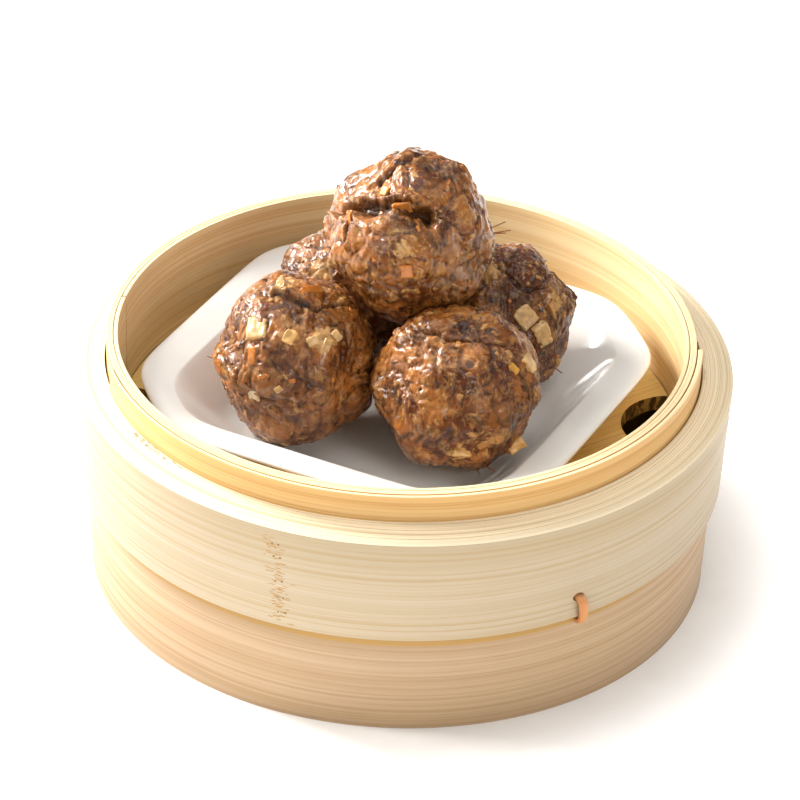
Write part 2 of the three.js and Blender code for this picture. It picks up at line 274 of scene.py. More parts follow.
def bamboo(name, pale, deep, line, cut, roughness=0.5, stain_and_shade=None, torn=0.0):
    """pale, deep and line colour the flat side, cut the edges. stain_and_shade is the height where a
    colour starts, the height where it is full, and the colour: the stripe under the joint, partly
    painted shade, and the painted shade below the floor board. torn is how ragged the cut faces are."""
    material, tree, surface = new_material(name)
    strip = node(tree, "ShaderNodeUVMap", uv_map="strip").outputs[0]
    facing_z = axis(tree, node(tree, "ShaderNodeNewGeometry").outputs["Normal"], "Z")

    def lines(along, across, detail, rough=0.5, place=(0, 0, 0)):
        return grain(tree, mapped(tree, strip, (along, across, 1), place), 1, detail, rough)

    broad = between(tree, lines(2, 220, 3), 0.3, 0.7)
    fibre = between(tree, lines(4, 1000, 5, 0.7), 0.44, 0.62)
    thread = lines(22, 4200, 2)
    dash = between(tree, lines(70, 2600, 1, 0.4), 0.66, 0.74)
    edge = between(tree, lines(5, 5200, 3, 0.6), 0.42, 0.66)
    strong = between(tree, lines(1.5, 1400, 2, 0.5, (7, 3, 0)), 0.6, 0.66, 0, 0.45)
    colour = blend(tree, broad, deep, pale)
    colour = blend(tree, math(tree, "MULTIPLY", fibre, 0.45), colour, line)
    colour = blend(tree, math(tree, "MULTIPLY", dash, 0.25), colour, line)
    edge_colour = blend(tree, math(tree, "MULTIPLY", edge, 0.4), cut, line)
    edge_colour = blend(tree, strong, edge_colour, line)
    colour = blend(tree, between(tree, facing_z, 0.45, 0.85), colour, edge_colour)
    if torn:
        upright = between(tree, math(tree, "ABSOLUTE", facing_z), 0.5, 0.2, 0, torn)
        rags = grain(tree, mapped(tree, object_place(tree), (600, 600, 160)), 1, 4, 0.7)
        rags = between(tree, rags, 0.42, 0.56)
        colour = blend(tree, math(tree, "MULTIPLY", upright, rags), colour, "3a240f")
    # From a height on, a colour is laid over the wood: the stripe under the joint, partly painted
    # shade, and painted shade below the floor board.
    if stain_and_shade:
        start, full, stain_and_shade_colour = stain_and_shade
        level = between(tree, axis(tree, object_place(tree), "Z"), start, full)
        stained_and_shaded = blend(tree, math(tree, "MULTIPLY", fibre, 0.4), stain_and_shade_colour, line)
        colour = blend(tree, level, colour, stained_and_shaded)
    height = math(tree, "ADD", math(tree, "MULTIPLY", fibre, 0.6), math(tree, "MULTIPLY", thread, 0.5))
    fill(tree, surface, {
        "Base Color": colour,
        "Roughness": between(tree, fibre, 0, 1, roughness - 0.08, roughness + 0.1),
        "Specular IOR Level": 0.35,
        "Normal": bump(tree, height, 0.06 * MM, 0.6),
    })
    return material


# The mustard stripe under the joint: partly the wood's colour, partly painted shade under the upper
# band.
MUSTARD_AND_SHADE_STRIPE = (27.0 * MM, 27.4 * MM, "b68e4c")
# Below the floor board the liner, the board's lower edge and the battens are painted near black:
# painted shade in the basket's foot.
PAINTED_SHADE_BELOW_BOARD = (BOARD.bottom + 0.5 * MM, BOARD.bottom - 1 * MM, "241608")
BAND_WOOD = bamboo("pale bamboo", "baa98f", "b29f80", "a88a55", "f2e0be")
LOWER_WOOD = bamboo("older bamboo", "c2a584", "b99a76", "9f7e50", "cdb084", stain_and_shade=MUSTARD_AND_SHADE_STRIPE)
RING_WOOD = bamboo("golden bamboo", "dfb677", "d3a25b", "b07a3a", "f5deb0", 0.42)
LINER_WOOD = bamboo("liner bamboo", "eed5a6", "e4c28e", "ca9a5c", "f5deb0", 0.42, stain_and_shade=PAINTED_SHADE_BELOW_BOARD)
FLOOR_WOOD = bamboo("dark bamboo", "eecb78", "d6ab5a", "94702f", "ecc878", 0.5, stain_and_shade=PAINTED_SHADE_BELOW_BOARD, torn=0.85)
print("bamboo finishes:", len([m for m in bpy.data.materials if "bamboo" in m.name]))

# %% [markdown]
# ## A rolled strip
# The basket maker rolls a long flat strip into a hoop, winding upon winding, and each winding steps out
# by one thickness in a short stretch where the next one begins. Blender could do that with a spiral and
# a curve modifier, but a straight strip that is cut across and then bent keeps a tidy map and needs no
# curve. So `flat_strip` makes a cube into a bevelled strip and cuts it across, and `bend` moves every
# point from its place on the straight strip to its place on the basket.
# %% Strip helpers
TURN = 2 * pi


def flat_strip(length, thickness, height, bevel, cuts):
    """A strip along X with its thickness in Y and its height in Z, and its own map, in metres."""
    bm = bmesh.new()
    bmesh.ops.create_cube(bm, size=1)
    bmesh.ops.translate(bm, verts=bm.verts, vec=(0.5, 0.5, 0.5))
    bmesh.ops.scale(bm, verts=bm.verts, vec=(length, thickness, height))

    def long_edges():
        ends = [(edge, edge.verts[0].co.x - edge.verts[1].co.x) for edge in bm.edges]
        return [edge for edge, reach in ends if abs(reach) > length / 2]

    bmesh.ops.bevel(
        bm, geom=long_edges(), offset=bevel, segments=2, profile=0.5, affect="EDGES", material=-1,
    )
    bmesh.ops.subdivide_edges(bm, edges=long_edges(), cuts=cuts, use_grid_fill=True)
    strip_map = bm.loops.layers.uv.new("strip")
    for face in bm.faces:
        for loop in face.loops:
            loop[strip_map].uv = (loop.vert.co.x, loop.vert.co.y + loop.vert.co.z)
    return bm


def bend(bm, length, thickness, height, route):
    """Moves each point to route(its share of the length, of the thickness, of the height)."""
    for vert in bm.verts:
        x, y, z = vert.co
        vert.co = route(x / length, y / thickness, z / height)


def finish_piece(name, bm, material, slot, *replaced, sharp=35):
    """Turns a bmesh into a finished piece that rides on the basket and stands for CAD nodes."""
    bmesh.ops.recalc_face_normals(bm, faces=bm.faces)
    mesh = bpy.data.meshes.new(name)
    bm.to_mesh(mesh)
    bm.free()
    mesh.materials.append(material)
    mesh.shade_smooth()
    mesh.set_sharp_from_angle(angle=radians(sharp))
    piece = bpy.data.objects.new(name, mesh)
    JOB.objects.link(piece)
    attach(piece, "root")
    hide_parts(*replaced)
    places = [vertex.co for vertex in mesh.vertices]
    low, high = [[round(pick(p[k] for p in places) / MM, 1) for k in range(3)] for pick in (min, max)]
    print(f"{name}: {len(mesh.polygons)} faces, {low} to {high} mm")
    return piece


# %% [markdown]
# Places on a round basket are given by a radius, an azimuth and a height, so three small functions turn
# them into points and directions. `smooth` eases a step, and `cut_away` takes one solid out of another
# with a Boolean modifier that is applied at once.
# %% Places and cuts
UP = Vector((0, 0, 1))


def on_circle(radius, azimuth, z, centre=Vector()):
    """A point at a radius, an azimuth in radians and a height."""
    return centre + Vector((radius * cos(azimuth), radius * sin(azimuth), z))


def direction(azimuth, elevation):
    """The unit vector towards an azimuth and an elevation in degrees."""
    return on_circle(cos(radians(elevation)), radians(azimuth), sin(radians(elevation)))


def out_and_level(azimuth):
    """The level directions outwards and round the basket at an azimuth in degrees."""
    return direction(azimuth, 0), direction(azimuth + 90, 0)


def smooth(share):
    share = min(max(share, 0), 1)
    return share * share * (3 - 2 * share)


def cut_away(piece, cutter_bm):
    """Cuts the cutter's solids out of a piece for good."""
    mesh = bpy.data.meshes.new("cutter")
    cutter_bm.to_mesh(mesh)
    cutter_bm.free()
    cutter = bpy.data.objects.new("cutter", mesh)
    JOB.objects.link(cutter)
    cut = piece.modifiers.new("cut", "BOOLEAN")
    cut.operation = "DIFFERENCE"
    cut.solver = "EXACT"
    cut.object = cutter
    with bpy.context.temp_override(object=piece, active_object=piece):
        bpy.ops.object.modifier_apply(modifier=cut.name)
    bpy.data.objects.remove(cutter)


# %% [markdown]
# Rolling it up: `layer` says on which winding a point of the strip lies. It stays on one winding for
# most of a turn and climbs to the next one in the last tenth. The strip starts and ends shaved thin in
# that same tenth, so that the hoop is round inside and outside. Between two windings a hair of air is
# left. A hand-cut edge is never quite straight, which `uneven` gives.
# %% Roll a strip into a hoop
STEP = 0.1
SHAVED = 0.8
WINDING_GAP = 0.006
SEGMENTS = 180


def uneven(x, y, z, height):
    """The rise or dip of a hand-cut edge at a place in a noise, with its height in mm."""
    return noise.noise(Vector((x, y, z))) * height * MM


def layer(turn, windings):
    whole = floor(turn)
    climb = smooth((turn - whole - 1 + STEP) / STEP)
    return min(max(whole + climb, 0), windings)


def rolled_hoop(wall, windings, bevel, start, inner, outer, bottom, top):
    """inner and outer give the hoop's radii at a share of its height, bottom the height of a layer's
    lower edge, and top that of its upper edge at a distance along the strip. The steps end at start."""
    first, last = -SHAVED * STEP, windings - (1 - SHAVED) * STEP
    length = (last - first) * pi * (wall.inner + wall.outer)
    thickness = (wall.outer - wall.inner) / windings
    height = wall.top - wall.bottom
    bm = flat_strip(length, thickness, height, bevel, round((last - first) * SEGMENTS))

    def route(along, across, level):
        turn = first + (last - first) * along
        across = WINDING_GAP + (1 - 2 * WINDING_GAP) * across
        depth = layer(turn, windings) * (1 - across) + layer(turn + 1, windings) * across
        near, far = inner(level), outer(level)
        radius = near + (far - near) * depth / windings
        z = bottom(depth) + (top(depth, along * length) - bottom(depth)) * level
        return on_circle(radius, radians(start) + TURN * turn, z, wall.centre)

    bend(bm, length, thickness, height, route)
    return bm


# %% [markdown]
# ## The upper band
# The upper band is the widest part, a strip rolled eight times. Its outer face leans out a little
# towards the top, and the top was sanded, so the outer windings are rounded over and the inner ones
# stand slightly prouder. A slow wave moves each winding's edge by a tenth of a millimetre.
# %% Upper band
BAND_WINDINGS = 8
BAND_FOOT = UPPER.outer - 1.4 * MM
BAND_RISE = 1.6 * MM
BAND_INSIDE = UPPER.inner - 0.8 * MM
BAND_ROUND = 0.7 * MM
JOINT_AT_BACK = 75
LEAN_TOP = 0.95


def band_top(depth, along):
    outward = BAND_INSIDE + (UPPER.outer - BAND_INSIDE) * depth / BAND_WINDINGS
    over = max(outward - (UPPER.outer - BAND_ROUND), 0) / BAND_ROUND
    rounding = BAND_ROUND * (1 - (1 - min(over, 1) ** 2) ** 0.5)
    wave = uneven(along * 9, floor(depth), 0, 0.14)
    return UPPER.top - BAND_RISE * depth / BAND_WINDINGS - rounding + wave


bm = rolled_hoop(
    UPPER, BAND_WINDINGS, 0.05 * MM, JOINT_AT_BACK,
    inner=lambda level: BAND_INSIDE,
    outer=lambda level: BAND_FOOT + (UPPER.outer - BAND_FOOT) * min(level / LEAN_TOP, 1),
    bottom=lambda depth: UPPER.bottom,
    top=band_top,
)
upper_band = finish_piece("upper_band", bm, BAND_WOOD, "bamboo_band", "band_upper")

# %% [markdown]
# ## The lower band
# The lower band is rolled from narrower, older strip. It stands back behind the upper band and draws in
# a little towards the foot. Right under the joint its finish paints a mustard stripe, partly the wood's
# colour and partly painted shade under the overhanging upper band.
# %% Lower band
LOWER_WINDINGS = 6
LOWER_FOOT = LOWER.outer - 1.0 * MM


def lower_top(depth, along):
    return LOWER.top - 0.1 * MM + uneven(along * 7, floor(depth), 5, 0.1)


bm = rolled_hoop(
    LOWER, LOWER_WINDINGS, 0.1 * MM, JOINT_AT_BACK,
    inner=lambda level: LOWER.inner,
    outer=lambda level: LOWER_FOOT + (LOWER.outer - LOWER_FOOT) * level,
    bottom=lambda depth: LOWER.bottom,
    top=lower_top,
)
lower_band = finish_piece("lower_band", bm, LOWER_WOOD, "bamboo_lower", "band_lower")

# %% [markdown]
# ## The inner rings
# Three thin hoops stand inside the bands and rise above them as a rim for the next basket: a liner with
# a free end at the left, a core of two windings, and an outer strip that starts with a square end at
# the right and thins out round the front. They are single bent strips, so each gets its own route.
# %% Inner rings
LINER_END = 170
LINER_SWEEP = 359.6
STRIP_START = -3
STRIP_SWEEP = 160
STRIP_THIN = STRIP.outer - 0.6 * MM


def bent_strip(wall, start, sweep, bevel, outer):
    """One strip bent clockwise. outer gives its outer radius at a share of its length."""
    length = radians(sweep) * wall.outer
    thickness = wall.outer - wall.inner
    height = wall.top - wall.bottom
    bm = flat_strip(length, thickness, height, bevel, round(SEGMENTS * sweep / 360))

    def route(along, across, level):
        radius = wall.inner + (outer(along) - wall.inner) * across
        wave = uneven(along * length * 12, wall.inner * 900, 0, 0.12)
        z = wall.bottom + (height + wave - 0.05 * MM) * level
        return on_circle(radius, radians(start - sweep * along), z, wall.centre)

    bend(bm, length, thickness, height, route)
    return bm


bm = bent_strip(LINER, LINER_END, LINER_SWEEP, 0.12 * MM, lambda along: LINER.outer)
finish_piece("inner_liner", bm, LINER_WOOD, "bamboo_ring", "ring_liner")

bm = bent_strip(
    STRIP, STRIP_START, STRIP_SWEEP, 0.2 * MM,
    lambda along: STRIP.outer + (STRIP_THIN - STRIP.outer) * along,
)
finish_piece("outer_strip", bm, RING_WOOD, "bamboo_ring", "ring_strip")

CORE_WINDINGS = 2


def core_top(depth, along):
    return CORE.top - 0.08 * MM + uneven(along * 10, floor(depth), 9, 0.1)


bm = rolled_hoop(
    CORE, CORE_WINDINGS, 0.06 * MM, JOINT_AT_BACK + 60,
    inner=lambda level: CORE.inner,
    outer=lambda level: CORE.outer,
    bottom=lambda depth: CORE.bottom,
    top=core_top,
)
finish_piece("ring_core_hoop", bm, RING_WOOD, "bamboo_ring", "ring_core")

# %% [markdown]
# ## The stitches
# A split of rattan holds the two bands together. It comes out of a hole in the upper band, bends over
# the joint, gets narrower and a little twisted, and goes in through a hole in the lower one. The path
# of its middle is a smooth curve through a few points, and the same straight strip is bent onto it. The
# two holes are cut by slim ovals, so each is seen as a dark edge round the strip.
# %% Stitches
STITCH_AZIMUTHS = {"stitch_1": -57, "stitch_2": 33, "stitch_3": 123}
STITCH_PATH = [
    (85.0, 36.6), (88.3, 36.8), (89.9, 36.0), (90.3, 34.2), (90.0, 31.8), (89.2, 29.6), (88.1, 28.1),
    (86.4, 27.5), (83.2, 27.5),
]
STITCH_WIDTH = 2.7 * MM
STITCH_THICKNESS = 1.0 * MM
STITCH_LENGTH = 18 * MM
STITCH_TWIST = radians(12)
STITCH_DRIFT = 1.5 * MM
STITCH_NARROWING = 0.22
STITCH_CROWN = 0.3
# For each hole: how far aside it is, its height on the basket, its width and its height, in mm.
HOLES = [(-0.9, 37.0, 3.4, 2.6), (1.5, 27.5, 2.8, 2.2)]
HOLE_MIDDLE = 87
HOLE_DEPTH = 16


def smooth_path(points, share):
    """A point of the smooth curve through all points, at a share of the way."""
    place = share * (len(points) - 1)
    k = min(int(place), len(points) - 2)
    t = place - k
    a, b, c, d = [Vector(points[min(max(k + i, 0), len(points) - 1)]) for i in (-1, 0, 1, 2)]
    square, cube = (2 * a - 5 * b + 4 * c - d), (3 * b - a - 3 * c + d)
    return (2 * b + (c - a) * t + square * t ** 2 + cube * t ** 3) / 2


def stitch(azimuth):
    bm = flat_strip(STITCH_LENGTH, STITCH_THICKNESS, STITCH_WIDTH, 0.28 * MM, 40)
    out, level = out_and_level(azimuth)

    def route(along, across, wide):
        here = smooth_path(STITCH_PATH, along)
        before, after = max(along - 0.01, 0), min(along + 0.01, 1)
        ahead = smooth_path(STITCH_PATH, after) - smooth_path(STITCH_PATH, before)
        face = Vector((-ahead.y, ahead.x)).normalized()
        face = out * face.x + Vector((0, 0, face.y))
        twist = STITCH_TWIST * smooth((along - 0.3) / 0.6)
        width = STITCH_WIDTH * (1 - STITCH_NARROWING * smooth((along - 0.3) / 0.5))
        beside = level * cos(twist) + face * sin(twist)
        upward = face * cos(twist) - level * sin(twist)
        crown = STITCH_CROWN * (1 - (2 * wide - 1) ** 2) - STITCH_CROWN / 2
        drift = level * STITCH_DRIFT * (smooth(along) - 0.3)
        middle = out * here.x * MM + Vector((0, 0, here.y * MM)) + drift
        off_middle = upward * (across - 0.5 + crown) * STITCH_THICKNESS
        return middle + beside * (wide - 0.5) * width + off_middle

    bend(bm, STITCH_LENGTH, STITCH_THICKNESS, STITCH_WIDTH, route)
    return bm


RATTAN = bamboo("rattan", "dda26c", "cd8448", "a4622f", "dda26c", 0.38)
for name, azimuth in STITCH_AZIMUTHS.items():
    finish_piece(name + "_strip", stitch(azimuth), RATTAN, "rattan", name)

for band, (aside, z, width, height) in zip((upper_band, lower_band), HOLES):
    cutter = bmesh.new()
    for azimuth in STITCH_AZIMUTHS.values():
        round_bar = {"segments": 28, "radius1": 0.5, "radius2": 0.5, "depth": 1}
        made = bmesh.ops.create_cone(cutter, cap_ends=True, **round_bar)["verts"]
        bmesh.ops.scale(cutter, verts=made, vec=Vector((height, width, HOLE_DEPTH)) * MM)
        out, level = out_and_level(azimuth)
        place = out * HOLE_MIDDLE * MM + level * aside * MM + Vector((0, 0, z * MM))
        turn = Matrix.Rotation(radians(azimuth), 4, "Z") @ Matrix.Rotation(radians(90), 4, "Y")
        bmesh.ops.transform(cutter, verts=made, matrix=Matrix.Translation(place) @ turn)
    cut_away(band, cutter)
    print(band.name, "after the holes:", len(band.data.polygons), "faces")

# %% [markdown]
# ## Marks of the bamboo
# A stalk of bamboo has nodes, and where one was planed away it leaves a column of short yellow-brown
# dashes with a few dark dots in pairs. Reddish flecks of the same kind lie on the top of the upper band
# at the left. They are too crisp for a noise pattern, so they are thin slivers sunk into the surface.
# The dashes are placed at random, with a seed, and the dots where the photograph has them. At the right
# the strip's end frays.
# %% Node marks, flecks and frayed fibres
import random

NODE_AZIMUTH = -110.4
NODE_HALF_WIDTH = 2.0
NODE_HEIGHTS = (31.5, 59)
NODE_MIDDLE, NODE_SLANT = 45, 0.07
DASHES = 95
DOTS = [
    (-111.0, 56.6), (-109.9, 56.5), (-110.8, 52.5), (-109.6, 52.4), (-110.5, 44.6), (-109.3, 44.9),
    (-110.2, 39.6), (-109.1, 39.7), (-110.0, 34.8), (-108.7, 35.0),
]
FLECKS = [(-147.5, 83.1, 9), (-144.5, 82.9, 9), (-141.8, 83.0, 7), (-139.0, 82.9, 5), (-135.5, 82.6, 5)]
FRAYS = 26
# Ranges for the length and the width of each kind of mark, in mm.
DASH_SIZE = ((0.8, 2.6), (0.2, 0.42))
DOT_SIZE = ((0.5, 0.8), (0.45, 0.65))
FLECK_SIZE = ((1.0, 2.6), (0.15, 0.35))
FRAY_SIZE = ((2, 5), (0.12, 0.25))
# The same for a fray's azimuth in degrees, its distance from the strip and its height.
FRAY_PLACE = ((-9, 5), (0, 0.6), (60.5, 63.5))


def drawn(*ranges):
    """One random number from each range, in their order."""
    return [random.uniform(*ends) for ends in ranges]


def marks_finish(name, colour, other):
    material, tree, surface = new_material(name)
    mixed = blend(tree, grain(tree, object_place(tree), 900, 2), colour, other)
    fill(tree, surface, {"Base Color": mixed, "Roughness": 0.6})
    return material


def sliver(bm, at, turn, size):
    """A flat oval, its length along the turned X axis and its thickness along the turned Z axis."""
    made = bmesh.ops.create_icosphere(bm, subdivisions=1, radius=0.5)["verts"]
    bmesh.ops.scale(bm, verts=made, vec=Vector(size) * MM)
    bmesh.ops.transform(bm, verts=made, matrix=Matrix.Translation(at) @ turn.to_4x4())


def on_band(azimuth, z):
    """A point on the upper band's outer face, and a turn with X along the strip and Z outwards."""
    share = min((z * MM - UPPER.bottom) / (UPPER.top - UPPER.bottom) / LEAN_TOP, 1)
    out, level = out_and_level(azimuth)
    at = out * (BAND_FOOT + (UPPER.outer - BAND_FOOT) * share) + Vector((0, 0, z * MM))
    return at, Matrix((level, UP, out)).transposed()


random.seed(3)
dashes, dots, flecks, frays = [bmesh.new() for _ in range(4)]
for _ in range(DASHES):
    z = random.uniform(*NODE_HEIGHTS)
    azimuth = NODE_AZIMUTH - (z - NODE_MIDDLE) * NODE_SLANT + random.gauss(0, NODE_HALF_WIDTH / 2.2)
    at, turn = on_band(azimuth, z)
    sliver(dashes, at, turn, (*drawn(*DASH_SIZE), 0.08))
for azimuth, z in DOTS:
    at, turn = on_band(azimuth, z)
    sliver(dots, at, turn, (*drawn(*DOT_SIZE), 0.12))
for azimuth, radius, number in FLECKS:
    for _ in range(number):
        out = direction(azimuth + random.gauss(0, 0.8), 0)
        depth = (radius + random.gauss(0, 0.5)) * MM
        share = (depth - BAND_INSIDE) / (UPPER.outer - BAND_INSIDE) * BAND_WINDINGS
        at = out * depth + Vector((0, 0, band_top(share, 0)))
        turn = Matrix((UP.cross(out), -out, UP)).transposed()
        sliver(flecks, at, turn, (*drawn(*FLECK_SIZE), 0.3))
for _ in range(FRAYS):
    azimuth, away, z = drawn(*FRAY_PLACE)
    out, level = out_and_level(azimuth)
    at = on_circle(STRIP.outer + away * MM, radians(azimuth), z * MM)
    tip = (level * random.choice((-1, 1)) + UP * random.uniform(0.1, 0.7)).normalized()
    across = tip.cross(out).normalized()
    turn = Matrix((tip, across, tip.cross(across))).transposed()
    sliver(frays, at, turn, (*drawn(*FRAY_SIZE), 0.12))
finish_piece("node_dashes", dashes, marks_finish("node dashes", "b68e50", "9c733b"), "bamboo_band")
finish_piece("node_dots", dots, marks_finish("node dots", "7a5a3a", "54391f"), "bamboo_band")
finish_piece("band_flecks", flecks, marks_finish("flecks", "bb8a6c", "a5714f"), "bamboo_band")
finish_piece("frayed_fibres", frays, marks_finish("frayed fibres", "a5834f", "6b4a24"), "bamboo_ring")

# %% [markdown]
# ## The plate
# The plate is a low square dish with cut corners, turned by 26 degrees. Its section is a list of half
# widths, one between opposite sides and one between opposite cut corners, with a height for each. For
# each of them a circle is made and pushed out to the outline, neighbouring loops are bridged, and a
# subdivision surface rounds the whole, as slip and glaze do.
# %% Plate
PLATE_CENTRE = Vector((-1.7, 1.2, 0)) * MM
PLATE_TURN = radians(-26)
PLATE_POINTS = 96
PLATE_POWER = 26
PLATE_SECTION = [
    (33, 39, 43.5), (34, 40.2, 42.4), (37, 43.6, 42.4), (38.4, 45.2, 43.9), (50.5, 58.5, 50.4),
    (59.3, 67.8, 56.8), (61.4, 70, 58.5), (61.5, 70.1, 59.5), (60.3, 68.8, 60.2), (57.5, 66, 60.0),
    (51.6, 62.6, 58.3), (51.2, 62.2, 58.15), (50.8, 61.8, 57.9), (49.5, 60.4, 56.8), (44.5, 54, 51.0),
    (39.5, 48.2, 47.6), (34, 41.6, 46.05), (26, 32, 46.0),
]


def plate_reach(angle, side_half, corner_half):
    """How far a square outline with cut corners, rounded at the bends, is from its middle."""
    across = [cos(angle - k * pi / 4) / (corner_half if k % 2 else side_half) for k in range(8)]
    return sum(max(a, 0) ** PLATE_POWER for a in across) ** (-1 / PLATE_POWER)


bm = bmesh.new()
loops = []
for side_half, corner_half, z in PLATE_SECTION:
    made = bmesh.ops.create_circle(bm, cap_ends=False, segments=PLATE_POINTS, radius=1)["verts"]
    for vert in made:
        angle = atan2(vert.co.y, vert.co.x)
        reach = plate_reach(angle, side_half, corner_half) * MM
        vert.co = on_circle(reach, angle + PLATE_TURN, z * MM, PLATE_CENTRE)
    loops.append({edge for vert in made for edge in vert.link_edges})
for here, there in zip(loops, loops[1:]):
    bmesh.ops.bridge_loops(bm, edges=list(here | there))
for rim in (loops[0], loops[-1]):
    cap = bmesh.ops.contextual_create(bm, geom=list(rim))["faces"]
    bmesh.ops.poke(bm, faces=cap)

porcelain, tree, surface = new_material("porcelain glaze")
place = object_place(tree)
fill(tree, surface, {
    "Base Color": blend(tree, between(tree, grain(tree, place, 45, 3), 0.3, 0.7), "e4e1da", "ebe8e2"),
    "Roughness": between(tree, grain(tree, place, 160, 2), 0.3, 0.7, 0.1, 0.17),
    "Coat Weight": 0.4,
    "Coat Roughness": 0.05,
    "Normal": bump(tree, grain(tree, place, 120, 2), 0.15 * MM, 0.25),
})
plate = finish_piece("plate_dish", bm, porcelain, "porcelain", "plate", sharp=80)
softened = plate.modifiers.new("rounded glaze", "SUBSURF")
softened.levels = softened.render_levels = 2

# %% [markdown]
# ## The floor of the basket
# A bamboo board closes the basket below. Steam comes through round notches at its edge. A circle with
# an extruded edge would do, but a flat cylinder is one step. The notches are cut by four cylinders in
# one Boolean, and a small bevel takes off the sharp edges. Two battens under it carry it.
# %% Floor board and battens
NOTCH_RADIUS = 14.9 * MM
NOTCH_CENTRE = 76.2 * MM
NOTCH_AZIMUTH = 2
NOTCHES = 4
BOARD_BEVEL = 0.5 * MM


def disc(bm, radius, bottom, top, centre, segments):
    size = {"segments": segments, "radius1": radius, "radius2": radius, "depth": 1}
    made = bmesh.ops.create_cone(bm, cap_ends=True, **size)["verts"]
    bmesh.ops.scale(bm, verts=made, vec=(1, 1, top - bottom))
    bmesh.ops.translate(bm, verts=made, vec=(centre[0], centre[1], (top + bottom) / 2))


bm = bmesh.new()
disc(bm, BOARD.outer, BOARD.bottom, BOARD.top, RING_CENTRE, 180)
strip_map = bm.loops.layers.uv.new("strip")
GRAIN_TURN = Matrix.Rotation(radians(-35), 2)
for face in bm.faces:
    for loop in face.loops:
        flat = GRAIN_TURN @ loop.vert.co.xy
        loop[strip_map].uv = (flat.x, flat.y + loop.vert.co.z)
board = finish_piece("floor_board_disc", bm, FLOOR_WOOD, "bamboo_floor", "floor_board")
cutter = bmesh.new()
for k in range(NOTCHES):
    at = on_circle(NOTCH_CENTRE, radians(NOTCH_AZIMUTH) + TURN * k / NOTCHES, 0, BOARD.centre)
    disc(cutter, NOTCH_RADIUS, BOARD.bottom - 5 * MM, BOARD.top + 5 * MM, at, 64)
cut_away(board, cutter)
rounded = board.modifiers.new("worn edge", "BEVEL")
rounded.width = BOARD_BEVEL
rounded.segments = 2
rounded.limit_method = "ANGLE"

# The battens lie below the floor board, so their finish paints them near black: painted shade.
for batten in ("floor_batten_1", "floor_batten_2"):
    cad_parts[batten].data.materials.clear()
    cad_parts[batten].data.materials.append(FLOOR_WOOD)

# %% [markdown]
# ## The meatballs
# Beef is minced, kneaded and rolled by hand, then steamed. The ball keeps a close, stringy surface with
# folds and pores. Sculpting by hand would not give the same ball twice, so each one starts as a fine
# icosphere that is laid onto its CAD ball, and layers of noise raise swells, pillows between creases,
# strings and pores on it. `relief` adds them up, in millimetres. Where `coarse` is low the surface is
# nearly smooth.
# %% Relief of kneaded meat
BALLS = ["meatball_left", "meatball_front", "meatball_right", "meatball_back", "meatball_top"]
# Heights in mm: first of what covers the whole ball, then of what comes only where it is coarse.
SWELL, PILLOW, STRINGS, PORE = 2.6, 1.2, 0.35, 0.9
SMALL_PILLOW, CROSS_STRINGS, FLAP, LUMPS, FINE = 0.55, 0.2, 0.35, 0.4, 0.22
# Blender starts noise_vector from the clock, so its own seed keeps every run the same.
noise.seed_set(7)


def relief(point, seed):
    """For a point in mm: the height of the meat, how deep in a crease it is, and whether in a pore."""
    here = point + Vector((seed * 37.0, seed * 11.0, -seed * 23.0))
    flow = here + noise.noise_vector(here / 12) * 6 + noise.noise_vector(here / 4.5) * 1.4
    swell = noise.noise(here / 12)
    pillow = abs(noise.noise(flow / 6.5))
    small = abs(noise.noise(flow / 3.0 + Vector((5, 2, 8))))
    turned = Matrix.Rotation(seed * 1.3, 3, "X") @ flow
    strings = noise.noise(Vector((turned.x / 1.2, turned.y / 1.5, turned.z / 7)))
    cross = noise.noise(Vector((turned.x / 5, turned.y / 0.9, turned.z / 1.5)) + Vector((9, 9, 9)))
    step = noise.noise(flow / 5 + Vector((3, 1, 4))) * 2.6
    flap = (step - floor(step)) * smooth(noise.noise(here / 9 + Vector((7, 0, 2))) * 3)
    lumps = noise.noise(flow / 2.2)
    fine = noise.noise(flow / 1.0)
    pit = smooth((0.1 - noise.voronoi(flow / 8)[0][0]) / 0.05)
    coarse = 0.35 + 0.65 * smooth(noise.noise(here / 10 + Vector((1, 9, 4))) * 2.5 + 0.5)
    height = SWELL * swell + PILLOW * pillow + STRINGS * strings - PORE * pit
    rough = SMALL_PILLOW * small + CROSS_STRINGS * cross + FLAP * flap + LUMPS * lumps + FINE * fine
    height += coarse * rough
    # The crease mask is used only by the finish, which paints it dark as painted shade.
    crease = 0.7 * smooth(1 - 5 * pillow - 1.2 * max(strings, 0)) + 0.3 * smooth(1 - 7 * small)
    return height, crease, pit


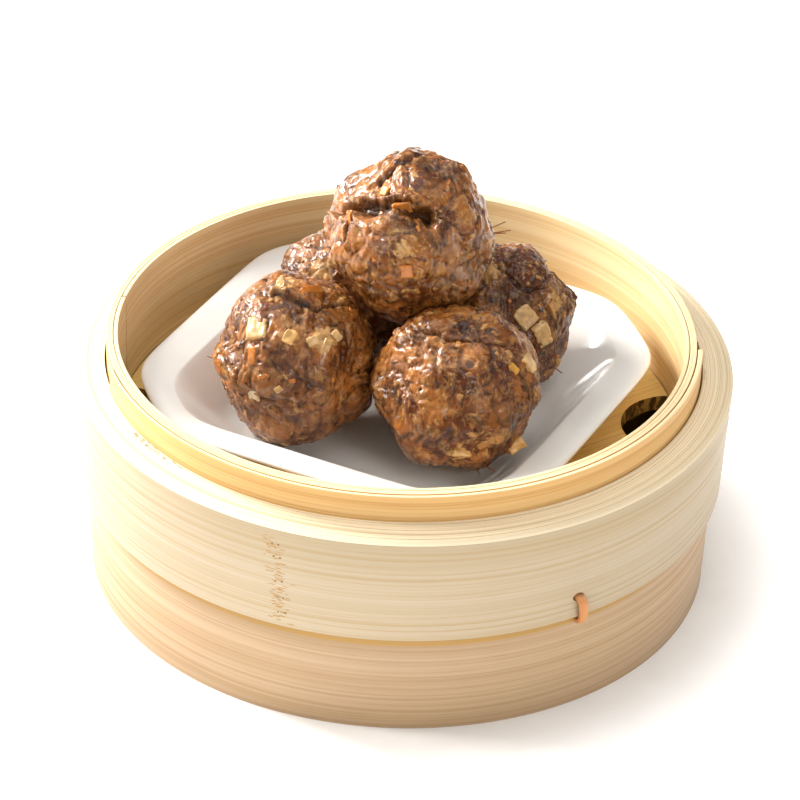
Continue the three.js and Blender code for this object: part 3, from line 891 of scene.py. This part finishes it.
# %% [markdown]
# The balls are not alike. The top one has torn open across its crust, with a thin crack above and a
# slit at its left, and others have a lighter, a violet or a dented spot. A dented spot of the dark kind
# is painted dark, as painted shade, and the two violet spots on the top ball are painted sheen. A
# groove is a path of directions with a width, a depth and a step from one bank to the other, and a spot
# is a direction with a reach and a height. Directions are an azimuth and an elevation in degrees, seen
# from the middle of the ball, and lengths are in millimetres.
# %% Grooves and spots
GROOVES = {
    "meatball_top": [
        (
            [(-176, 24), (-157, 40), (-142, 45), (-123, 50), (-108, 53), (-92, 50), (-74, 45)],
            2.1, 4.6, 1.8,
        ),
        ([(-180, 61), (-180, 70), (168, 77), (115, 81)], 0.8, 1.5, -0.5),
        ([(-155, 33), (-147, 27), (-144, 17)], 0.8, 1.7, -0.5),
    ],
    "meatball_left": [
        ([(-60, 66), (-20, 60), (5, 40)], 0.8, 1.2, 0.5),
        ([(-150, 70), (-70, 72)], 0.7, 0.9, -0.5),
    ],
    "meatball_front": [([(-175, 52), (-120, 66), (-60, 62), (-30, 50)], 0.8, 1.1, 0.6)],
    "meatball_right": [([(-95, 68), (-60, 48), (-30, 44)], 0.8, 1.0, 0.5)],
    "meatball_back": [([(-170, 50), (-140, 58)], 0.8, 1.0, 0.4)],
}
# A spot of the dark kind is a dent that the finish paints dark: painted shade.
SPOTS = {
    # On the top ball the two violet spots stand for a violet-grey sheen on the wet film: painted sheen.
    "meatball_top": [
        (-120, -11, 1.3, -1.6, "dark"), (21, 80, 2.2, -0.5, "dark"), (-64, 25, 4.0, 0.3, "violet"),
        (-45, 65, 3.5, 0.2, "violet"), (-96, 22, 4.2, 0.5, "fat"), (-98, 5, 4.0, 0.5, "warm"),
        (-150, 12, 5.0, 0.4, "warm"), (-128, 34, 4.5, 0.5, "warm"), (-40, -20, 8.0, 0.3, "warm"),
    ],
    "meatball_left": [
        (-86, -26, 14.0, -0.4, "violet"), (-150, -32, 11.0, -1.3, "violet"),
        (-105, 12, 17.0, 0, "violet"), (-96, 44, 3.2, 0.5, "fat"),
        (-66, 40, 5.0, 0.4, "fat"), (-127, 26, 2.6, 0.6, "warm"), (-178, 80, 5.0, 0.8, "fat"),
        (-15, 79, 5.0, 0.6, "warm"), (-159, 7, 5.0, 0.7, "warm"),
    ],
    "meatball_front": [
        (-134, 40, 9.0, 0.2, "warm"), (-86, -18, 4.0, 0.4, "fat"), (-60, -8, 5.0, 0.4, "fat"),
        (-138, -40, 7.0, 0.3, "fat"), (-174, 48, 6.0, 1.0, "warm"), (-20, 50, 7.0, 0.9, "warm"),
    ],
    "meatball_right": [
        (-113, 65, 6.0, 0.4, "fat"), (-30, 27, 3.6, 0.4, "fat"), (-26, -42, 6.0, 0.7, "warm"),
        (-73, 41, 8.0, -0.3, "dark"),
    ],
    "meatball_back": [
        (-161, 40, 14.0, 0.2, "violet"), (163, 31, 6.0, 0.7, "violet"), (-130, 40, 6.0, 0.3, "fat"),
    ],
}
# Each ball's tone. The right ball's low tone is partly painted shade, for the top ball's shade on it.
TONES_AND_SHADE = dict(zip(BALLS, (0.55, 0.38, 0.12, 0.5, 0.6)))
FAR_OFF = 9.0


def groove_at(out, reach, path, width, depth, step):
    """The height and the painted shade that a groove gives to a point in the direction out, at a reach
    in mm.
    """
    best = FAR_OFF
    bank = 0
    for a, b in zip(path, path[1:]):
        along = b - a
        share = min(max((out - a).dot(along) / along.length_squared, 0), 1)
        away = out - (a + along * share)
        if away.length < best:
            best = away.length
            bank = 1 if away.dot(out.cross(along)) < 0 else -1
    away_mm = best * reach
    inside = smooth(1.5 - away_mm / width)
    shelf = step * bank * smooth(1.6 - away_mm / (4 * width)) * smooth(away_mm / width)
    return shelf - depth * inside, inside


def spot_at(out, reach, here, spot):
    azimuth, elevation, size, height, kind = spot
    away = (out - direction(azimuth, elevation)).length * reach
    if away > 1.6 * size:
        return 0, 0
    ragged = away * (1 + 0.9 * noise.noise(here / 2.2))
    return height * smooth(1.4 - away / size), smooth(1.3 - 1.1 * ragged / size)


# %% [markdown]
# Now the ball itself. Each point of the icosphere is shot outwards onto the CAD ball and moved by the
# relief, the grooves and the spots. All of that fades out where another ball or the plate is near, so
# nothing cuts through its neighbour, and the mean height is taken off, so the ball keeps its size. Two
# point attributes keep what the finish needs: the painted shade of creases and grooves, tone, violet
# and the painted shade of pores in one, fat, warm and the painted shade of dented spots in the other.
# %% Meatball shape
BALL_CUTS = 7
FADE = 1.6 * MM


def skin_of(mesh):
    """A search tree over a mesh's faces, which finds where a ray meets them or which is nearest."""
    return BVHTree.FromPolygons([v.co for v in mesh.vertices], [p.vertices for p in mesh.polygons])


carriers = {name: skin_of(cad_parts[name].data) for name in [*BALLS, "plate"]}


def ball_middle(name):
    low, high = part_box(name)
    return (low + high) / 2


def meatball(name, seed):
    bm = bmesh.new()
    bmesh.ops.create_icosphere(bm, subdivisions=BALL_CUTS, radius=1)
    middle = ball_middle(name)
    flesh = bm.verts.layers.float_color.new("flesh")
    patch = bm.verts.layers.float_color.new("patch")
    others = [carriers[other] for other in carriers if other != name]
    grooves = [([direction(*at) for at in path], *sizes) for path, *sizes in GROOVES[name]]
    moves = []
    for vert in bm.verts:
        out = vert.co.normalized()
        skin = carriers[name].ray_cast(middle, out)[0]
        reach = (skin - middle).length / MM
        here = skin / MM
        height, crease, pit = relief(here, seed)
        waver = noise.noise_vector(here / 2.5) * 0.045
        wavering = (out + waver + noise.noise_vector(here / 7) * 0.06).normalized()
        for path, width, depth, step in grooves:
            change, inside = groove_at(wavering, reach, path, width, depth, step)
            height += change
            # A groove's inside adds to the crease mask, which is painted as shade.
            crease = max(crease, inside)
        tints = {"fat": 0, "warm": 0, "violet": 0, "dark": 0}
        for spot in SPOTS[name]:
            change, tint = spot_at(out, reach, here, spot)
            height += change
            tints[spot[4]] = max(tints[spot[4]], tint)
        tone = TONES_AND_SHADE[name] + 0.9 * noise.noise(here / 9 + Vector((seed, 0, 0)))
        violet = max(tints["violet"], smooth(noise.noise(here / 8 + Vector((0, seed, 3))) * 2.4 - 0.5))
        near = min(other.find_nearest(skin)[3] for other in others)
        moves.append((skin, out, height, smooth(near / FADE)))
        vert[flesh] = (crease, tone, violet, pit)
        vert[patch] = (tints["fat"], tints["warm"], tints["dark"], 1)
    mean = sum(height for _, _, height, _ in moves) / len(moves)
    heights = [height - mean for _, _, height, _ in moves]
    print(f"{name}: relief {min(heights):.1f} to {max(heights):.1f} mm")
    for vert, (skin, out, height, share) in zip(bm.verts, moves):
        vert.co = skin + out * (height - mean) * MM * share
    return bm


# %% [markdown]
# ## Steamed beef
# Steamed mince is brown with lighter strings and specks of fat, and a thin film of juice makes many
# small sharp lights on it. The colours lie over each other in layers, each with its share, on a warped
# pattern, so that nothing repeats. Creases, grooves, dents and pores are painted dark, as painted
# shade, and the violet spots on the top ball are painted sheen. The film is the shader's coat, with its
# own finer bump.
# %% Beef finish
meat, tree, surface = new_material("steamed beef")
place = object_place(tree)
flesh_node = node(tree, "ShaderNodeAttribute", attribute_name="flesh")
painted_crease_shade, tone, violet = node(tree, "ShaderNodeSeparateColor", {0: flesh_node.outputs["Color"]}).outputs
patch_colour = node(tree, "ShaderNodeAttribute", attribute_name="patch").outputs["Color"]
fat_spot, warm_spot, dent_shade_spot = node(tree, "ShaderNodeSeparateColor", {0: patch_colour}).outputs
warp = node(tree, "ShaderNodeTexNoise", {"Vector": place, "Scale": 160, "Detail": 2}).outputs["Color"]
warp_inputs = {0: warp, 1: (0.005, 0.005, 0.005), 2: place}
bent = node(tree, "ShaderNodeVectorMath", warp_inputs, operation="MULTIPLY_ADD").outputs[0]
small = grain(tree, bent, 330, 5, 0.6)
streak = grain(tree, mapped(tree, bent, (1, 1, 0.22), turn=(0.6, 0.3, 0)), 900, 3, 0.55)
tiny = grain(tree, bent, 1500, 3, 0.6)
tone = math(tree, "ADD", tone, math(tree, "MULTIPLY_ADD", grain(tree, bent, 130, 3, 0.6), 1.2, -0.6))
milky = grain(tree, mapped(tree, bent, (1, 1, 1), (2, 9, 4)), 300, 5, 0.65)
warm = between(tree, grain(tree, bent, 170, 3, 0.5), 0.58, 0.72, 0, 0.35)
warm = math(tree, "MAXIMUM", warm, math(tree, "MULTIPLY", warm_spot, 0.4))
specks = grain(tree, mapped(tree, bent, (1, 1, 1), (3, 5, 1)), 260, 4, 0.6)
specks = between(tree, specks, 0.6, 0.69, 0, 0.65)
mottle = math(tree, "MULTIPLY_ADD", grain(tree, bent, 600, 4, 0.65), 2.6, -1.3)
fat_islands = between(tree, math(tree, "ADD", fat_spot, mottle), 0.45, 0.95, 0, 0.75)
fat = math(tree, "MAXIMUM", specks, fat_islands)
# Creases, grooves and dented spots are painted dark here: painted shade.
dark = math(tree, "MULTIPLY", dent_shade_spot, 0.6)
dark = math(tree, "MAXIMUM", math(tree, "MULTIPLY", painted_crease_shade, 0.85), dark)
colour = blend(tree, between(tree, tone, 0.1, 0.9), "59290b", "995c25")
for share, paint in (
    (between(tree, streak, 0.5, 0.66, 0, 0.45), "be8c4e"),
    (between(tree, milky, 0.5, 0.66, 0, 0.6), "b28650"),
    # Violet: the meat's own tint, and on the top ball painted sheen.
    (math(tree, "MULTIPLY", violet, 0.32), "80604f"),
    (warm, "a05f26"),
    (fat, "cfa266"),
    # Fine dark creases from a noise pattern: painted shade.
    (between(tree, small, 0.47, 0.32, 0, 0.85), "2b1206"),
    (dark, "27130a"),
    # Pores are painted nearly black: painted shade.
    (math(tree, "MULTIPLY", flesh_node.outputs["Alpha"], 0.9), "140805"),
):
    colour = blend(tree, share, colour, paint)
rough_height = math(tree, "ADD", streak, math(tree, "MULTIPLY", tiny, 0.8))
fill(tree, surface, {
    "Base Color": colour,
    "Roughness": between(tree, small, 0.35, 0.7, 0.2, 0.45),
    "Specular IOR Level": 0.14,
    "Subsurface Weight": 0.1,
    "Subsurface Radius": (1.0, 0.45, 0.25),
    "Subsurface Scale": 1.0 * MM,
    "Coat Weight": 0.42,
    "Coat Roughness": 0.05,
    "Normal": bump(tree, rough_height, 0.35 * MM, 0.7),
    "Coat Normal": bump(tree, rough_height, 0.1 * MM, 0.6),
})

# %% [markdown]
# The shape and the finish come together here. Each ball gets its own seed, so that no two have the same
# folds, and each stands for its CAD ball. They take the longest of all, because every point is moved by
# itself.
# %% Make the five balls
finished = {}
for seed, name in enumerate(BALLS, 1):
    bm = meatball(name, seed)
    piece_name = name.replace("meatball", "beef_ball")
    finished[name] = finish_piece(piece_name, bm, meat, "meat", name, sharp=180)

# %% [markdown]
# ## Bits in the meat
# Pieces of fat, water chestnut and carrot stick out of the mince. They are separate bodies, because
# their edges are crisp and their colour stops sharply. Each is a cube cut fine, rounded and worn by
# noise, and sunk into the ball's surface where the photograph shows it. `lean` tips a thin one up into
# a flap. All of them end up in one mesh, and a point attribute keeps each one's colour.
# %% Bits
BIT_COLOURS = {
    "cream": "d9b277", "white": "e3cfa4", "yellow": "d99f2e", "pale": "dcae68", "tan": "b07c3c",
    "orange": "c9782a", "bright": "f0a010", "brown": "8a5424",
}
# For each ball: azimuth, elevation, size in mm, spin, how far it stands out in mm, lean and colour.
BITS = {
    "meatball_left": [
        (-130, 44, (6.2, 5.6, 4), 25, 0.6, 0, "cream"), (-96, 44, (4, 3, 2.6), 70, 0.5, 0, "pale"),
        (-75, 41, (3.2, 2.6, 2), 10, 0.35, 0, "cream"), (-64, 37, (3.6, 2.4, 2), 50, 0.35, 0, "pale"),
        (-51, 41, (2.4, 3, 2), 20, 0.5, 0, "cream"), (-120, -3, (3.4, 3, 2.4), 15, 0.35, 0, "white"),
        (-101, 8, (2.2, 1.8, 1.6), 40, 0.5, 0, "cream"),
        (-125, 26, (2.2, 4.6, 1.4), 15, 0.35, 0, "orange"),
        (-176, 78, (6.5, 2.6, 1.2), 5, 0.5, 35, "tan"), (-30, 80, (7, 2.4, 1), -20, 0.4, 40, "orange"),
    ],
    "meatball_front": [
        (-18, 31, (4, 5.2, 3.8), 10, 0.6, 0, "cream"), (-38, 36, (2, 3.4, 1.9), 25, 0.35, 0, "yellow"),
        (-30, -33, (5.2, 4.8, 3.4), 40, 2.4, 20, "pale"),
        (-86, -18, (5, 1.6, 1.8), -15, 0.8, 25, "pale"), (-61, -6, (2.2, 3.6, 1.5), 10, 0.35, 0, "tan"),
        (-71, -12, (3, 2.4, 1.5), 30, 0.5, 0, "tan"), (-112, -20, (3.4, 2.6, 1.6), 0, 0.35, 0, "tan"),
    ],
    "meatball_right": [
        (-64, 26, (5.4, 6.0, 4), 30, 0.65, 0, "cream"), (-52, 9, (4.8, 7.0, 4), 20, 0.65, 0, "cream"),
        (-33, 24, (3.4, 4.4, 2), 10, 0.35, 0, "tan"), (-22, -34, (4, 3, 2.2), 60, 0.35, 0, "tan"),
    ],
    "meatball_top": [
        (-104, 55, (4.8, 3, 1.2), 20, 1, 45, "orange"),
        (-142, 62, (2.2, 2.4, 1.8), 10, 1.2, 20, "bright"),
        (-150, 27, (2, 6.4, 1.4), 10, 0.8, 30, "orange"),
        (-92, 8, (3, 3.6, 1.4), 10, 0.35, 0, "orange"),
    ],
}


ball_skins = {name: skin_of(piece.data) for name, piece in finished.items()}


def seat(ball, azimuth, elevation, spin, lean):
    """The point on a ball in a direction, the direction, and a turn that stands a bit up along it."""
    middle = ball_middle(ball)
    out = direction(azimuth, elevation)
    at = ball_skins[ball].ray_cast(middle + out * 60 * MM, -out)[0]
    level = UP.cross(out).normalized()
    turn = Matrix((level, out.cross(level), out)).transposed()
    turn = turn @ Matrix.Rotation(radians(lean), 3, "X") @ Matrix.Rotation(radians(spin), 3, "Z")
    return at, out, turn


# The higher the power, the sharper the block's edges. Then how uneven it is, as shares of its size.
BOXY = 11
UNEVEN, PITTED = 0.1, 0.06


def add_worn(target, size, at, turn, seed, colour, cuts=9):
    """Adds one worn, rounded block to the target bmesh, with its colour in the attribute "tint"."""
    bm = bmesh.new()
    bmesh.ops.create_cube(bm, size=1)
    bmesh.ops.subdivide_edges(bm, edges=bm.edges[:], cuts=cuts, use_grid_fill=True)
    tint = bm.verts.layers.float_color.new("tint")
    colour = linear(BIT_COLOURS[colour])
    for vert in bm.verts:
        size_now = sum(abs(c) ** BOXY for c in vert.co) ** (1 / BOXY)
        round_box = vert.co / size_now / 2
        worn = noise.noise_vector(round_box * 1.8 + Vector((seed * 7.1, 0, 0))) * UNEVEN
        worn += noise.noise_vector(round_box * 6 + Vector((seed * 3.3, 0, 0))) * PITTED
        local = round_box + worn
        vert.co = at + turn @ Vector([local[k] * size[k] * MM for k in range(3)])
        shade = 0.9 + 0.35 * noise.noise(vert.co / MM / 1.3)
        vert[tint] = (colour[0] * shade, colour[1] * shade, colour[2] * shade, 1)
    mesh = bpy.data.meshes.new("bit")
    bm.to_mesh(mesh)
    bm.free()
    target.from_mesh(mesh)
    bpy.data.meshes.remove(mesh)


bit_finish, tree, surface = new_material("bits of fat")
place = object_place(tree)
tint = node(tree, "ShaderNodeAttribute", attribute_name="tint").outputs["Color"]
cloud = between(tree, grain(tree, place, 500, 4, 0.6), 0.4, 0.7, 0, 0.5)
fill(tree, surface, {
    "Base Color": blend(tree, cloud, tint, "a5713c"),
    "Roughness": between(tree, cloud, 0, 0.35, 0.25, 0.45),
    "Subsurface Weight": 0.3,
    "Subsurface Radius": (1.0, 0.7, 0.4),
    "Subsurface Scale": 1.0 * MM,
    "Coat Weight": 0.25,
    "Coat Roughness": 0.08,
    "Normal": bump(tree, grain(tree, place, 900, 3, 0.6), 0.3 * MM, 0.5),
})


def numbered(table):
    """The rows of a table of balls, each with its number and its ball."""
    return enumerate((ball, *row) for ball, rows in table.items() for row in rows)


bm = bmesh.new()
bm.verts.layers.float_color.new("tint")
for seed, (ball, azimuth, elevation, size, spin, proud, lean, colour) in numbered(BITS):
    at, out, turn = seat(ball, azimuth, elevation, spin, lean)
    add_worn(bm, size, at + out * (proud - size[2] / 2) * MM, turn, seed, colour)
finish_piece("bits_of_fat", bm, bit_finish, "meat", sharp=180)

# %% [markdown]
# Smaller crumbs of mince and fat lie all over the balls and break up their outline. They come from one
# loop with a seeded random source, so every run gives the same ones. A few thin strands stand off the
# surface.
# %% Crumbs and strands
CRUMBS_PER_BALL = 70
# Ranges for a crumb's place (azimuth, elevation in radians, spin, lean) and for its size in mm.
CRUMB_PLACE = ((-180, 180), (-0.6, 1.2), (0, 180), (-20, 20))
CRUMB_SIZE = ((0.7, 2.2), (0.6, 1.3), (0.5, 0.9))
CRUMB_COLOURS = ["tan", "brown", "brown", "orange"]
CRUMB_SUNK = 0.2 * MM
# For each ball: azimuth, elevation, length in mm, lean and spin.
STRANDS = {
    "meatball_top": [(8, 6, 4.4, 80, -15), (6, 3, 4.8, 82, 5), (10, 0, 3.4, 78, 20)],
    "meatball_front": [(-64, -42, 4.2, 60, -40), (-70, -44, 3.0, 60, -10)],
    "meatball_left": [(-176, -2, 2.4, 70, 0)],
    "meatball_right": [(-18, -38, 3.0, 60, 30)],
}
STRAND_THICKNESS = 0.25

random.seed(5)
bm = bmesh.new()
bm.verts.layers.float_color.new("tint")
for name in BALLS:
    for k in range(CRUMBS_PER_BALL):
        azimuth, elevation, spin, lean = drawn(*CRUMB_PLACE)
        at, out, turn = seat(name, azimuth, degrees(elevation), spin, lean)
        size, colour = drawn(*CRUMB_SIZE), random.choice(CRUMB_COLOURS)
        add_worn(bm, size, at - out * CRUMB_SUNK, turn, k * 5 + len(name), colour, cuts=3)
for seed, (ball, azimuth, elevation, length, lean, spin) in numbered(STRANDS):
    at, out, turn = seat(ball, azimuth, elevation, spin, lean)
    size = (STRAND_THICKNESS, length, STRAND_THICKNESS)
    add_worn(bm, size, at + turn @ Vector((0, length * 0.4 * MM, 0)), turn, seed, "brown")
finish_piece("crumbs_and_strands", bm, bit_finish, "meat", sharp=180)
